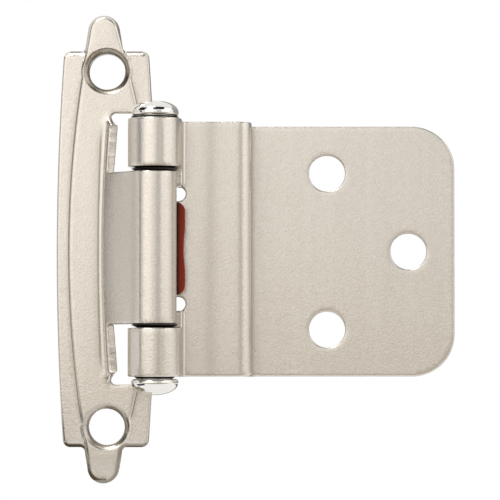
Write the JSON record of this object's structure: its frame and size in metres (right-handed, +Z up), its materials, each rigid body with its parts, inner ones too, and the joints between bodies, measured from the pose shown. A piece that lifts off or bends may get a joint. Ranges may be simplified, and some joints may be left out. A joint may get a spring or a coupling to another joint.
{
  "type": "spring loaded door hinge",
  "caption": "Self-closing inset cabinet hinge: ornamental face-frame wing with a barrel hump, cranked door leaf, domed pin, spring and nylon closing shoe.",
  "frame": {"origin": "midway between the frame wing's two screw holes, on the wing's back plane, which lies on the cabinet's face frame", "axes": "+Z up along the pin, +X from the screw holes towards the door, +Y back into the cabinet"},
  "size_m": [0.06, 0.0208, 0.0698],
  "materials": {
    "satin_nickel": "bead-blasted satin nickel plate",
    "polished_nickel": "polished nickel plate",
    "red_nylon": "moulded nylon",
    "spring_steel": "bare spring steel"
  },
  "bodies": {
    "frame": {"frame_wing": "satin_nickel", "hinge_pin": "polished_nickel", "pin_cap": "polished_nickel", "closing_spring": "spring_steel"},
    "leaf": {"door_leaf": "satin_nickel"},
    "shoe": {"closing_shoe": "red_nylon"}
  },
  "joints": [
    {"name": "door_swing", "type": "hinge", "parent": "frame", "child": "leaf", "pos_m": [0.0073, -0.0073, 0], "axis": [0, 0, -1], "range_deg": [0, 150], "stiffness_Nm_per_rad": 0.1, "springref_deg": -20.05},
    {"name": "shoe_press", "type": "slide", "parent": "frame", "child": "shoe", "axis": [0, -1, 0], "range_m": [0, 0.0006], "stiffness_N_per_m": 400, "springref_m": -0.0003, "deforming": ["closing_spring"]}
  ]
}
